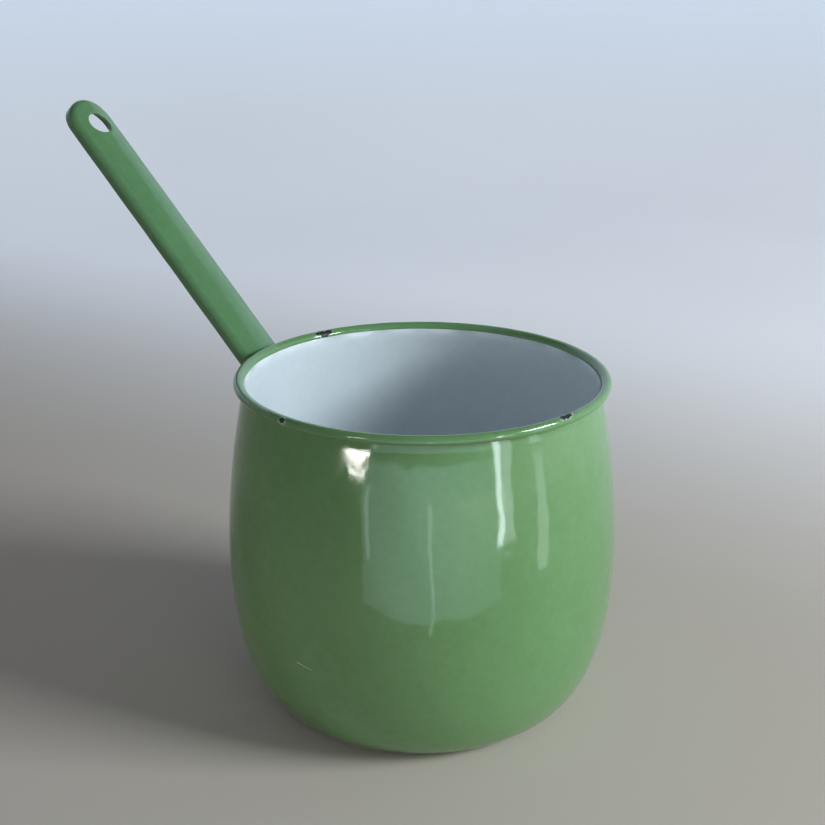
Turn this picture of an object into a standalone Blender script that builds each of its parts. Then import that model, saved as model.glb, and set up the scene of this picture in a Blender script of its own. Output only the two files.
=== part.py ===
"""Enamelled milk pan with a long handle.

A thin steel pot is drawn in one piece, and its edge is rolled outwards into a bead. Green enamel is fused over
its outside and its bead, and white enamel over its inside. A pressed steel handle, a channel with a round tip and
a hanging hole, is held to the neck by four spot welds that pass through windows in the green coat.

Frame: +Z is up, the origin is the middle of the flat base on the surface it stands on, the handle is towards -X.
Outlines are lists of (radius, height) in millimetres. Objects are in metres.
"""

import math

import bmesh
import bpy
import numpy as np
from mathutils import Matrix, Vector

MM = 0.001

# The pot's outside
POT_HEIGHT = 120.3
BELLY_DIAMETER = 138.6
BELLY_LEVEL = 56.0  # height of the widest ring
BASE_DIAMETER = 91.6  # flat disc that it stands on
NECK_DIAMETER = 124.2  # just under the bead
NECK_UPRIGHT = 2.4  # height of the upright stretch at the neck's top
LOWER_POWER = 2.36  # roundness of the quarter between base and belly: 2 is an ellipse
UPPER_POWER = 1.76  # how the side leans in between belly and neck: 1 is straight

# The layers of its wall
STEEL = 0.45
COAT = 0.2  # green outside, white inside
LAYER_GAP = 0.05

# The rolled rim
BEAD = 3.2  # height of the roll
BEAD_TUCK = 0.3  # how far the roll reaches back over the neck
TURN_DROP = 1.5  # how far down the inside the edge starts to turn over
GREEN_BAND = 2.2  # how far the green comes down inside the mouth
CURL_END = math.radians(-150)  # where the rolled edge stops, round the bead from its outer side
CREASE_WIDTH = 0.06  # how far the coat bridges from neck to bead
SHARP_ANGLE = math.radians(35)  # edges that turn more than this are shaded as edges

# The handle
HANDLE_SHEET = 1.3  # steel with its enamel on both faces
HANDLE_LENGTH = 120.0  # from where it passes the bead to its tip
HANDLE_WIDTH = 20.0
HANDLE_DEPTH = 6.2  # from the crown to the flanges' edge
HANDLE_TILT = math.radians(47.8)  # above the horizontal
CROWN = 2.3  # how far the middle stands above the shoulders
SHOULDER_RADIUS = 2.8
INNER_CORNER = 0.4  # least radius inside the shoulder
FLANGE_FADE = 0.7  # share of the foot over which the flanges sink to a lip
HOLE_DIAMETER = 9.0
HOLE_TO_TIP = 12.0
SEAT_GAP = 0.3  # clearance between the handle and the pot
BEND_REACH = 4.0  # length of each leg that the bend rounds off
FOOT_LENGTH = 34.0  # down the neck from the bend
FOOT_LIP = 0.4  # what is left of the flanges round the foot's lower end

# The spot welds
WELD_DIAMETER = 4.0
WELD_SPREAD = 9.0  # across the foot
WELD_DROPS = {"upper": 7.0, "lower": 19.0}  # below the bend
WELD_SIDES = {"left": -1, "right": 1}
WELD_GAP = 0.1  # between a weld and the metal at each of its ends
WINDOW_CLEARANCE = 0.3

# Smoothness
RING_STEPS = 40
LOWER_STEPS = 7
UPPER_STEPS = 5
TURN_STEPS = 3
CURL_STEPS = 12
ROUND_END_STEPS = 6
FOOT_STEPS = 6
BEND_STEPS = 5
GRIP_STEPS = 8
SEAT_SEARCH_STEPS = 12
HOLE_STEPS = 24
WELD_STEPS = 16
TOP_SHARES = (0, 0.35, 0.7, 1)  # where the handle's top has its corners, from its middle to its shoulder
CUTTER_ROOM = 3  # how many times longer a cutter is than what it cuts through

OUT_OF_STEEL = STEEL / 2 + LAYER_GAP  # from the sheet's middle to a coat's near face
OUT_OF_COAT = OUT_OF_STEEL + COAT  # from the sheet's middle to a coat's far face
BEAD_CENTRE = np.array([NECK_DIAMETER / 2 - BEAD_TUCK + BEAD / 2, POT_HEIGHT - BEAD / 2])
TURN_FOOT = POT_HEIGHT - OUT_OF_COAT - TURN_DROP  # where the sheet starts to turn over
WALL_TOP = POT_HEIGHT - GREEN_BAND - LAYER_GAP  # where the white lining ends
NECK_LEVEL = WALL_TOP - NECK_UPRIGHT  # where the side stops leaning in
CREASE_ANGLE = -math.acos((CREASE_WIDTH + BEAD_TUCK) / (BEAD / 2) - 1)  # where the coat leaves the bead
CREASE_HEIGHT = BEAD_CENTRE[1] + BEAD / 2 * math.sin(CREASE_ANGLE) - CREASE_WIDTH / 2


# ---------------------------------------------------------------- outlines


def lower_side():
    """Quarter of a superellipse from the flat base's edge up to the widest ring."""
    base, belly = BASE_DIAMETER / 2, BELLY_DIAMETER / 2
    turn = np.linspace(0, math.pi / 2, LOWER_STEPS + 1)
    out = np.sin(turn) ** (2 / LOWER_POWER)
    up = 1 - np.clip(np.cos(turn), 0, 1) ** (2 / LOWER_POWER)
    return np.column_stack([base + (belly - base) * out, BELLY_LEVEL * up])


def side_radius(height):
    """Outer radius of the pot between the widest ring and the neck."""
    belly, neck = BELLY_DIAMETER / 2, NECK_DIAMETER / 2
    share = (np.clip(height, BELLY_LEVEL, NECK_LEVEL) - BELLY_LEVEL) / (NECK_LEVEL - BELLY_LEVEL)
    return belly - (belly - neck) * share**UPPER_POWER


def offset(points, distance):
    """The outline moved to its right by a distance, with its corners mitred."""
    along = np.diff(points, axis=0)
    along /= np.linalg.norm(along, axis=1)[:, None]
    right = np.column_stack([along[:, 1], -along[:, 0]])
    before = np.vstack([right[:1], right])
    after = np.vstack([right, right[-1:]])
    middle = before + after
    middle /= np.sum(middle * before, axis=1)[:, None]
    return points + middle * distance


def wall_middle():
    """Middle of the steel sheet from the centre of the base up to the rim."""
    heights = np.append(np.linspace(BELLY_LEVEL, NECK_LEVEL, UPPER_STEPS + 1)[1:], WALL_TOP)
    upper = np.column_stack([side_radius(heights), heights])
    outside = np.vstack([[0.0, 0.0], lower_side(), upper])
    return offset(outside, -OUT_OF_COAT)


def arc(centre, radius_out, radius_up, start, end, steps):
    """Points round part of an ellipse, from one angle to another."""
    angles = np.linspace(start, end, steps + 1)
    return centre + np.column_stack([radius_out * np.cos(angles), radius_up * np.sin(angles)])


def rim_middle():
    """Middle of the steel sheet over the top of the rim and round the bead."""
    neck = NECK_DIAMETER / 2 - OUT_OF_COAT
    curl = BEAD / 2 - OUT_OF_COAT
    turn_centre = np.array([BEAD_CENTRE[0], TURN_FOOT])
    turn = arc(turn_centre, BEAD_CENTRE[0] - neck, TURN_DROP, math.pi, math.pi / 2, TURN_STEPS)
    roll = arc(BEAD_CENTRE, curl, curl, math.pi / 2, CURL_END, CURL_STEPS)
    return np.vstack([[neck, POT_HEIGHT - GREEN_BAND], turn, roll[1:]])


def steel_outline():
    """The sheet's outer face up and round the curl, then its inner face back down."""
    sheet = np.vstack([wall_middle(), rim_middle()])
    return np.vstack([offset(sheet, STEEL / 2), offset(sheet, -STEEL / 2)[::-1]])


def coat_face(from_middle, crease_height):
    """One face of the green coat: up the outside, across the crease, and back round the bead into the mouth."""
    wall = offset(wall_middle(), from_middle)
    wall[-1][1] = crease_height
    bead = BEAD / 2 - OUT_OF_COAT + from_middle
    round_bead = arc(BEAD_CENTRE, bead, bead, CREASE_ANGLE, math.pi / 2, CURL_STEPS)
    turn = offset(rim_middle()[: TURN_STEPS + 2], -from_middle)[::-1]
    return np.vstack([wall, round_bead, turn[1:]])


def green_outline():
    """The coat's outer face from the base to the mouth, then its steel side back."""
    outer = coat_face(OUT_OF_COAT, CREASE_HEIGHT)
    inner = coat_face(OUT_OF_STEEL, CREASE_HEIGHT + COAT)
    return np.vstack([outer, inner[::-1]])


def lining_outline():
    """The white lining's steel side from the base up, then its free face back down."""
    wall = wall_middle()
    return np.vstack([offset(wall, -OUT_OF_STEEL), offset(wall, -OUT_OF_COAT)[::-1]])


# ---------------------------------------------------------------- helpers


def finish(part):
    """A bmesh in millimetres with its doubles merged and its faces turned outwards, scaled to metres."""
    bmesh.ops.scale(part, vec=(MM, MM, MM), verts=part.verts)
    bmesh.ops.remove_doubles(part, verts=part.verts, dist=0.001 * MM)
    bmesh.ops.dissolve_degenerate(part, edges=part.edges, dist=0.001 * MM)
    bmesh.ops.recalc_face_normals(part, faces=part.faces)
    return part


def add_object(name, part, material):
    """Puts a bmesh into the scene as a smooth-shaded object."""
    mesh = bpy.data.meshes.new(name)
    part.to_mesh(mesh)
    part.free()
    mesh.materials.append(material)
    mesh.shade_smooth()
    mesh.set_sharp_from_angle(angle=SHARP_ANGLE)
    item = bpy.data.objects.new(name, mesh)
    bpy.context.scene.collection.objects.link(item)
    return item


def add_turned(name, outline, material):
    """Spins an outline round the pot's axis into a closed shell."""
    part = bmesh.new()
    corners = [part.verts.new((radius, 0, height)) for radius, height in outline]
    edges = [part.edges.new(pair) for pair in zip(corners, corners[1:])]
    bmesh.ops.spin(
        part,
        geom=corners + edges,
        cent=(0, 0, 0),
        axis=(0, 0, 1),
        angle=2 * math.pi,
        steps=RING_STEPS,
    )
    return add_object(name, finish(part), material)


def add_cylinder(name, diameter, length, steps, matrix, material):
    """A closed cylinder along the local Z of a matrix, centred on it."""
    part = bmesh.new()
    bmesh.ops.create_cone(
        part,
        cap_ends=True,
        segments=steps,
        radius1=diameter / 2,
        radius2=diameter / 2,
        depth=length,
        matrix=matrix,
    )
    return add_object(name, finish(part), material)


def cut(item, cutter):
    """Takes a cutter out of an item, and keeps the cutter hidden."""
    cutter.hide_render = True
    cutter.display_type = "WIRE"
    boolean = item.modifiers.new("cut_" + cutter.name, "BOOLEAN")
    boolean.operation = "DIFFERENCE"
    boolean.solver = "EXACT"
    boolean.object = cutter


def placed(radius, height, sideways, facing_out, facing_up):
    """Matrix at a point behind the pot's -X side, with its Z along a direction in the (radius, height) plane."""
    towards = Vector((-facing_out, 0, facing_up)).normalized()
    turn = towards.to_track_quat("Z", "Y").to_matrix().to_4x4()
    return Matrix.Translation((-radius, sideways, height)) @ turn


# ---------------------------------------------------------------- handle


def grip_line():
    """Where the handle's crown line passes the bead, and the direction in which it rises."""
    rising = np.array([math.cos(HANDLE_TILT), math.sin(HANDLE_TILT)])
    outward = np.array([math.sin(HANDLE_TILT), -math.cos(HANDLE_TILT)])
    return BEAD_CENTRE + outward * (BEAD / 2 + SEAT_GAP), rising


def seat_point(height):
    """Point on the crown line where it lies along the neck, a gap away square to the leaning side."""
    lean = side_radius(height + 1) - side_radius(height)
    return np.array([side_radius(height) + SEAT_GAP * math.hypot(1, lean), height])


def bend_corner():
    """Where the grip's line, run on downwards, meets the line of the seat. Each step closes what is left."""
    corner, rising = grip_line()
    for _ in range(SEAT_SEARCH_STEPS):
        away = corner[0] - seat_point(corner[1])[0]
        corner = corner - rising * away / rising[0]
    return corner


def foot_top():
    """Height at which the foot leaves the neck and starts to bend."""
    return bend_corner()[1] - BEND_REACH


def face_line(face_half):
    """One face's stations: points on the crown line from the foot's end to the tip, and half widths there.

    The two ends are half circles, so their stations are spaced by the sine of an angle. The under face has a
    smaller half width, so it ends one sheet's thickness sooner.
    """
    start, rising = grip_line()
    corner, half, top = bend_corner(), HANDLE_WIDTH / 2, foot_top()
    rounding = np.linspace(math.pi / 2, 0, ROUND_END_STEPS + 1)
    drops, narrow = face_half * np.sin(rounding), face_half * np.cos(rounding)
    foot_round = top - FOOT_LENGTH + half
    grip_round = HANDLE_LENGTH - half
    foot_end = [seat_point(foot_round - drop) for drop in drops]
    foot = [seat_point(height) for height in np.linspace(foot_round, top, FOOT_STEPS + 1)[1:]]
    past_bend = corner + rising * BEND_REACH
    bend = [
        (1 - t) ** 2 * foot[-1] + 2 * t * (1 - t) * corner + t * t * past_bend
        for t in np.linspace(0, 1, BEND_STEPS + 1)[1:]
    ]
    grip = [start + rising * length for length in np.linspace(0, grip_round, GRIP_STEPS + 1)[1:]]
    tip = [start + rising * (grip_round + drop) for drop in drops[::-1][1:]]
    full = [face_half] * (len(foot) + len(bend) + len(grip))
    return np.array(foot_end + foot + bend + grip + tip), [*narrow, *full, *narrow[::-1][1:]]


def blend(value, low, high):
    """0 below low, 1 above high, and a smooth step in between."""
    share = np.clip((value - low) / (high - low), 0, 1)
    return share * share * (3 - 2 * share)


def section(point, half, inset):
    """The channel's outline across the handle: (sideways, up) from one flange's edge to the other's.

    On the grip the middle is crowned. On the foot it follows the round neck instead, and the flanges fade
    into a low lip. inset is 0 for the outer face and the sheet's thickness for the under face.
    """
    height = point[1]
    grip = blend(height, foot_top(), grip_line()[0][1])
    flange = blend(height, foot_top() - FOOT_LENGTH * FLANGE_FADE, foot_top())
    round_neck = side_radius(height) + SEAT_GAP
    corner = min(max(SHOULDER_RADIUS - inset, INNER_CORNER), half / 2)

    def top(sideways):
        crowned = -CROWN * (sideways / (HANDLE_WIDTH / 2)) ** 2
        seated = round_neck - math.sqrt(round_neck**2 - sideways**2)
        return grip * crowned + (1 - grip) * seated - inset

    shoulder = half - corner
    across = [(shoulder * share, top(shoulder * share)) for share in TOP_SHARES]
    for angle in (math.pi / 4, math.pi / 2):
        across.append((shoulder + corner * math.sin(angle), top(shoulder) - corner * (1 - math.cos(angle))))
    lip = top(shoulder) + inset - HANDLE_SHEET - FOOT_LIP - SHOULDER_RADIUS
    edge = min(flange * -HANDLE_DEPTH + (1 - flange) * lip, lip)
    across.append((half, edge))
    return [(-y, z) for y, z in across[:0:-1]] + across


def face_rows(part, face_half, inset):
    """One face of the channel as rows of corners, each row across the handle at one station."""
    points, halves = face_line(face_half)
    along = np.gradient(points, axis=0)
    along /= np.linalg.norm(along, axis=1)[:, None]
    rows = []
    for point, direction, half in zip(points, along, halves):
        up = np.array([-direction[1], direction[0]])
        places = [(point + up * rise, sideways) for sideways, rise in section(point, half, inset)]
        rows.append([part.verts.new((-place[0], sideways, place[1])) for place, sideways in places])
    return rows


def build_handle(material):
    """Lofts the outer face and the under face, joins them along the flanges' edge, and punches the hole."""
    part = bmesh.new()
    half = HANDLE_WIDTH / 2
    faces = [face_rows(part, half, 0), face_rows(part, half - HANDLE_SHEET, HANDLE_SHEET)]
    outer, under = faces
    for rows in faces:
        for row, following in zip(rows, rows[1:]):
            for a, b, c, d in zip(row, row[1:], following[1:], following):
                part.faces.new((a, b, c, d))
    for edge in (0, -1):
        for i in range(len(outer) - 1):
            part.faces.new((outer[i][edge], outer[i + 1][edge], under[i + 1][edge], under[i][edge]))
    handle = add_object("handle", finish(part), material)
    start, rising = grip_line()
    radius, height = start + rising * (HANDLE_LENGTH - HOLE_TO_TIP)
    through = placed(radius, height, 0, math.sin(HANDLE_TILT), -math.cos(HANDLE_TILT))
    hole_length = CUTTER_ROOM * (HANDLE_SHEET + CROWN)
    cutter = add_cylinder("hanging_hole_cutter", HOLE_DIAMETER, hole_length, HOLE_STEPS, through, material)
    cut(handle, cutter)


# ---------------------------------------------------------------- welds


def build_welds(coat, material):
    """Four weld nuggets between the steel body and the handle's foot, each in a window of the green coat."""
    facet_dip = NECK_DIAMETER / 2 * (1 - math.cos(math.pi / RING_STEPS))
    room = SEAT_GAP + COAT + LAYER_GAP
    length = room - 2 * WELD_GAP
    for level, drop in WELD_DROPS.items():
        height = foot_top() - drop
        slope = side_radius(height + 1) - side_radius(height - 1)
        radius = side_radius(height) + SEAT_GAP - room / 2
        for side, sign in WELD_SIDES.items():
            sideways = sign * WELD_SPREAD / 2
            angle = math.asin(sideways / radius)
            facing = Vector((-math.cos(angle) * 2, math.sin(angle) * 2, -slope)).normalized()
            turn = facing.to_track_quat("Z", "Y").to_matrix().to_4x4()
            middle = Vector((-radius * math.cos(angle), sideways, height))
            place = Matrix.Translation(middle) @ turn
            name = f"weld_{level}_{side}"
            add_cylinder(name, WELD_DIAMETER, length, WELD_STEPS, place, material)
            window = add_cylinder(
                name + "_window_cutter",
                WELD_DIAMETER + 2 * WINDOW_CLEARANCE,
                CUTTER_ROOM * (room + facet_dip),
                WELD_STEPS,
                place,
                material,
            )
            cut(coat, window)


# ---------------------------------------------------------------- the pan


def add_material(name, colour, roughness, metallic):
    """A plain Principled material."""
    material = bpy.data.materials.new(name)
    material.use_nodes = True
    shader = material.node_tree.nodes["Principled BSDF"]
    shader.inputs["Base Color"].default_value = (*colour, 1)
    shader.inputs["Roughness"].default_value = roughness
    shader.inputs["Metallic"].default_value = metallic
    return material


def main():
    for item in list(bpy.data.objects):
        bpy.data.objects.remove(item, do_unlink=True)
    steel = add_material("steel", (0.10, 0.10, 0.11), 0.45, 1.0)
    green = add_material("green_enamel", (0.105, 0.265, 0.115), 0.12, 0.0)
    white = add_material("white_enamel", (0.78, 0.81, 0.82), 0.14, 0.0)
    grip = add_material("handle_enamel", (0.095, 0.245, 0.110), 0.14, 0.0)
    weld = add_material("weld_metal", (0.16, 0.15, 0.15), 0.5, 1.0)
    add_turned("steel_body", steel_outline(), steel)
    coat = add_turned("green_coat", green_outline(), green)
    add_turned("white_lining", lining_outline(), white)
    build_handle(grip)
    build_welds(coat, weld)


main()
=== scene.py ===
# %% [markdown]
# # A green enamelled milk pan
#
# This lesson gives a small enamelled pan its looks. The pan is a thin steel pot with a rolled rim, dipped in
# glass: green outside, white inside. A pressed steel handle is welded to its neck and dipped with it.
# What makes enamel look like enamel is not its colour. It is a thick glass that is never quite flat, that
# gathers in creases, and that chips down to a near-black ground coat where the rim was knocked.
#
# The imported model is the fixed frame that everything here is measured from, so it is loaded first.

# %% Load the frame
import math

import bmesh
import bpy
import numpy as np
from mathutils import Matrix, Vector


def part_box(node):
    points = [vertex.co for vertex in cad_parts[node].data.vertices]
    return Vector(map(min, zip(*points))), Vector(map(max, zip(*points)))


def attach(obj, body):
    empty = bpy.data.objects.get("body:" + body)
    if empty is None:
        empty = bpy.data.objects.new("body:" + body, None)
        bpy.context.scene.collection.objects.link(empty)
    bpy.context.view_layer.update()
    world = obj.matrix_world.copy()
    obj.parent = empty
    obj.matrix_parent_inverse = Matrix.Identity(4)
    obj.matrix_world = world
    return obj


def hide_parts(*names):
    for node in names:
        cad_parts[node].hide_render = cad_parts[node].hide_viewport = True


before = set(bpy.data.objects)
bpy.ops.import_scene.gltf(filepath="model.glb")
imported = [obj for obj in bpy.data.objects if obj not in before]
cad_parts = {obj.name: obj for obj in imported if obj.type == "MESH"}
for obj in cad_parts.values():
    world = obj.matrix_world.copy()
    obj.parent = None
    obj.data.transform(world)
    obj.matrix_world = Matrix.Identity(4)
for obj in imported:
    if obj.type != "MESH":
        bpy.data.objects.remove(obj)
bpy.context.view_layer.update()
print("frame pieces:", ", ".join(sorted(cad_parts)))

# %% [markdown]
# ## The pan's own sizes
#
# Sizes are in millimetres, as a maker would say them, and become metres only when a mesh is made. The two sizes
# that the frame can be asked for are read from it. The others say which kind of curve runs between them.

# %% Sizes of the pot
MM = 0.001
pot_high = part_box("green_coat")[1]

POT_HEIGHT = round(pot_high.z / MM, 2)
BELLY_RADIUS = round(pot_high.x / MM, 2)
BELLY_LEVEL = 56.0
BASE_RADIUS = 45.8
NECK_RADIUS = 62.1
NECK_UPRIGHT = 2.4
LOWER_POWER, UPPER_POWER = 2.36, 1.76

STEEL, COAT, LAYER_GAP = 0.45, 0.2, 0.05
OUT_OF_STEEL = STEEL / 2 + LAYER_GAP
OUT_OF_COAT = OUT_OF_STEEL + COAT

BEAD_RADIUS = 1.6
BEAD_OUT = 2.9
TURN_DROP, GREEN_BAND = 1.5, 2.2
CURL_END = math.radians(-150)
CREASE_WIDTH, CREASE_RUN = 0.06, 0.5

bead_centre = np.array([NECK_RADIUS + BEAD_OUT - BEAD_RADIUS, POT_HEIGHT - BEAD_RADIUS])
crease_angle = -math.acos((CREASE_WIDTH + BEAD_RADIUS - BEAD_OUT) / BEAD_RADIUS)
crease_height = bead_centre[1] + BEAD_RADIUS * math.sin(crease_angle) - CREASE_WIDTH / 2
turn_foot = POT_HEIGHT - OUT_OF_COAT - TURN_DROP
wall_top = POT_HEIGHT - GREEN_BAND - LAYER_GAP
neck_level = wall_top - NECK_UPRIGHT
print(f"pot {POT_HEIGHT} mm high, {2 * BELLY_RADIUS:.1f} mm across the belly")

# %% [markdown]
# ## The camera
#
# It stands a little above the rim, as a person looks at a pan on a table. It is set first, because everything
# else is judged through it. Its place is counted round the pan from the front, and the handle points to the left
# and away. A small turn to the left keeps the pan just right of the middle.

# %% Camera
CAMERA_ROUND, CAMERA_ABOVE = math.radians(28), math.radians(17.76)
CAMERA_PITCH, CAMERA_PAN = math.radians(19.76), math.radians(0.49)
CAMERA_DISTANCE = 0.416
CAMERA_LENS, SENSOR_WIDTH = 52.36, 36
NEAREST_SEEN = 0.01


def on_floor(azimuth, distance):
    """A point of the floor: east is distance times the cosine of the azimuth, north is times its sine."""
    return distance * math.cos(azimuth), distance * math.sin(azimuth)


camera = bpy.data.objects.new("camera", bpy.data.cameras.new("camera"))
camera.location = (
    *on_floor(CAMERA_ROUND - math.pi / 2, CAMERA_DISTANCE * math.cos(CAMERA_ABOVE)),
    POT_HEIGHT * MM + CAMERA_DISTANCE * math.sin(CAMERA_ABOVE),
)
camera.rotation_euler = (math.pi / 2 - CAMERA_PITCH, 0, CAMERA_ROUND + CAMERA_PAN)
camera.data.lens = CAMERA_LENS
camera.data.sensor_width = SENSOR_WIDTH
camera.data.clip_start = NEAREST_SEEN
bpy.context.scene.collection.objects.link(camera)
bpy.context.scene.camera = camera
print("camera at", [round(x, 3) for x in camera.location])

# %% [markdown]
# ## From an array of points to a mesh
#
# A pan could be spun from a curve or smoothed from a cage, but then nothing in it could be asked for exactly. Here
# every piece is a surface of two parameters: rows of points that all have the same number of columns. One helper
# turns such a grid into a mesh. It joins each point to its neighbours, merges the points that meet at a pole or
# a seam, and turns the faces outwards. A value for each point, such as where the glass is chipped, can go along
# as an attribute, so that a material can read it.


# %% Grid to mesh
MERGE = 0.0005 * MM


def grid_piece(name, points, **values):
    """A mesh object from points[row, column] in millimetres, with its columns closed into rings.

    Face (i, j) joins the points (i, j), (i + 1, j), (i + 1, j + 1) and (i, j + 1). values are attributes.
    """
    rows, columns = points.shape[:2]
    index = np.arange(rows * columns).reshape(rows, columns)
    after = np.roll(index, -1, axis=1)
    quads = np.stack([index[:-1], index[1:], after[1:], after[:-1]], axis=-1)
    mesh = bpy.data.meshes.new(name)
    mesh.from_pydata(points.reshape(-1, 3) * MM, [], quads.reshape(-1, 4))
    for title, value in values.items():
        layer = mesh.attributes.new(title, "FLOAT", "POINT")
        layer.data.foreach_set("value", np.broadcast_to(value, (rows, columns)).astype(np.float32).ravel())
    item = bpy.data.objects.new(name, mesh)
    bpy.context.scene.collection.objects.link(item)
    return close_up(item)


def close_up(item):
    """Merges the points that meet, drops what shrank to nothing, faces the rest outwards, and counts open edges."""
    work = bmesh.new()
    work.from_mesh(item.data)
    bmesh.ops.remove_doubles(work, verts=work.verts, dist=MERGE)
    bmesh.ops.dissolve_degenerate(work, edges=work.edges, dist=MERGE)
    bmesh.ops.recalc_face_normals(work, faces=work.faces)
    open_edges = sum(1 for edge in work.edges if len(edge.link_faces) != 2)
    work.to_mesh(item.data)
    work.free()
    item.data.shade_smooth()
    print(f"{item.name}: {len(item.data.polygons)} faces, {open_edges} open edges")
    return item


# %% [markdown]
# ## The pot's profile
#
# A drawn pot is round, so it is a profile carried round an axis. A Screw modifier could do that too, but it couldn't
# vary what it carries, and the glass must be wavy and chipped on the way round.
#
# The side is a quarter of a superellipse from the flat base up to the widest ring, then a curve that leans in to
# the neck. The middle of the steel sheet is drawn first, and every layer, steel or glass, is that line moved
# sideways. At the top the sheet turns outwards and curls under. So the face that was inside ends up outside the
# bead, and the green coat bridges the crease below.


# %% Profile helpers
def offset(points, distance):
    """The line moved to its right: each point goes along the middle of its two edges' normals."""
    along = np.diff(points, axis=0)
    along /= np.linalg.norm(along, axis=1)[:, None]
    right = np.column_stack([along[:, 1], -along[:, 0]])
    before = np.vstack([right[:1], right])
    middle = before + np.vstack([right, right[-1:]])
    middle /= np.sum(middle * before, axis=1)[:, None]
    return points + middle * distance


def side_radius(height):
    """The pot's radius between belly and neck: the belly's, less a power of the share of the way up."""
    share = (np.clip(height, BELLY_LEVEL, neck_level) - BELLY_LEVEL) / (neck_level - BELLY_LEVEL)
    return BELLY_RADIUS - (BELLY_RADIUS - NECK_RADIUS) * share**UPPER_POWER


def arc(centre, across, up, start, end, steps):
    """Points round part of an ellipse: its centre plus (across cos a, up sin a) at even steps of the angle a."""
    angles = np.linspace(start, end, steps + 1)
    return np.asarray(centre) + np.column_stack([across * np.cos(angles), up * np.sin(angles)])


def bow(start, corner, end, steps):
    """A quadratic curve that leaves the start towards the corner and reaches the end from it."""
    t = np.linspace(0, 1, steps + 1)[:, None]
    return (1 - t) ** 2 * start + 2 * t * (1 - t) * corner + t * t * end


def run(points):
    """Length of the line up to each of its points."""
    return np.concatenate([[0], np.cumsum(np.linalg.norm(np.diff(points, axis=0), axis=1))])


def spaced(points, count):
    """The same line with its points at even steps of its length."""
    steps = np.linspace(0, run(points)[-1], count)
    return np.column_stack([np.interp(steps, run(points), points[:, k]) for k in (0, 1)])


# %% The sheet's middle line
def wall_middle(base=8, lower=38, upper=30):
    """The flat base, the superellipse up to the belly and the leaning side, moved in by the wall outside it."""
    turn = np.linspace(0, math.pi / 2, 900)
    swell = np.sin(turn) ** (2 / LOWER_POWER)
    rise = 1 - np.clip(np.cos(turn), 0, 1) ** (2 / LOWER_POWER)
    quarter = np.column_stack([BASE_RADIUS + (BELLY_RADIUS - BASE_RADIUS) * swell, BELLY_LEVEL * rise])
    flat = np.column_stack([np.linspace(0, BASE_RADIUS, base), np.zeros(base)])
    heights = np.append(np.linspace(BELLY_LEVEL, neck_level, upper), wall_top)
    side = np.column_stack([side_radius(heights), heights])
    return offset(np.vstack([flat, spaced(quarter, lower)[1:], side[1:]]), -OUT_OF_COAT)


def rim_turn(steps=14):
    """Up from the wall and over the top of the rim along a quarter of an ellipse."""
    neck = NECK_RADIUS - OUT_OF_COAT
    reach = bead_centre[0] - neck
    quarter = arc((bead_centre[0], turn_foot), reach, TURN_DROP, math.pi, math.pi / 2, steps)
    return np.vstack([[neck, POT_HEIGHT - GREEN_BAND], quarter])


wall = wall_middle()
turn = rim_turn()
curl = arc(bead_centre, BEAD_RADIUS - OUT_OF_COAT, BEAD_RADIUS - OUT_OF_COAT, math.pi / 2, CURL_END, 20)
print(f"profile: {len(wall)} points up the wall, {len(turn)} over the rim, {len(curl)} round the bead")


# %% The layers' outlines
def coat_face(from_middle, crease, bead_steps):
    """Up the outside, across the crease in a small bow, round the bead from below, and over into the mouth."""
    side = offset(wall, from_middle)[:-1]
    radius = BEAD_RADIUS - OUT_OF_COAT + from_middle
    bead = arc(bead_centre, radius, radius, crease_angle, math.pi / 2, bead_steps)
    crease_corner = np.array([side[-1][0], crease])
    below = side[-1] * [1, 0] + [0, crease - CREASE_RUN]
    bridge = bow(below, crease_corner, bead[0], 5)
    return np.vstack([side, bridge, bead[1:], offset(turn, -from_middle)[::-1][1:]])


def rounded_end(start, end, bulge, steps=6):
    """Half an ellipse from start to end, round the middle between them, that stands out by the bulge."""
    start, end, bulge = map(np.asarray, (start, end, bulge))
    angles = np.linspace(0, math.pi, steps + 1)[1:-1, None]
    return (start + end) / 2 + (start - end) / 2 * np.cos(angles) + bulge * np.sin(angles)


green_face = coat_face(OUT_OF_COAT, crease_height, 32)
green_back = coat_face(OUT_OF_STEEL, crease_height + COAT, 10)
sheet = np.vstack([wall, turn, curl[1:]])
white_face, white_back = offset(wall, -OUT_OF_COAT), offset(wall, -OUT_OF_STEEL)
print(f"green coat: top {green_face[:, 1].max():.2f} mm, out to {green_face[:, 0].max():.2f} mm")

# %% [markdown]
# ## Chips, worked out on the rim
#
# A knock breaks the glass off in small shells. The edge of each is ragged, its floor is the dark ground coat, and
# round it runs a pale ring of crushed glass. They could be painted on, but then a chip on the edge of the rim would
# leave the outline whole. The chips are real pits in the mesh, so they are worked out
# on two lengths that lie flat on the enamel: how far round the rim, and how far along the profile. Each chip is
# a few overlapping lobes. The same field is kept as an attribute for the colour.

# %% Where the chips are
CHIP_DEPTH, CHIP_SLOPE = 0.14, 0.28
# azimuth in degrees, angle round the bead in degrees (0 is outwards, 90 is the top), half length and half width
CHIP_LOBES = np.array(
    [
        (-18.6, 72, 1.85, 0.95),
        (-16.3, 79, 1.50, 0.90),
        (-17.2, 60, 1.25, 0.75),
        (-104.1, 28, 1.20, 1.02),
        (156.2, 150, 2.15, 1.15),
        (153.6, 146, 1.65, 1.05),
        (158.4, 140, 1.20, 0.75),
        (156.4, 198, 1.05, 1.35),
        (155.0, 188, 0.90, 1.05),
    ]
)
FINE_STEPS, COARSE_EVERY, CHIP_WINDOW = 1980, 6, 1.9


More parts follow.
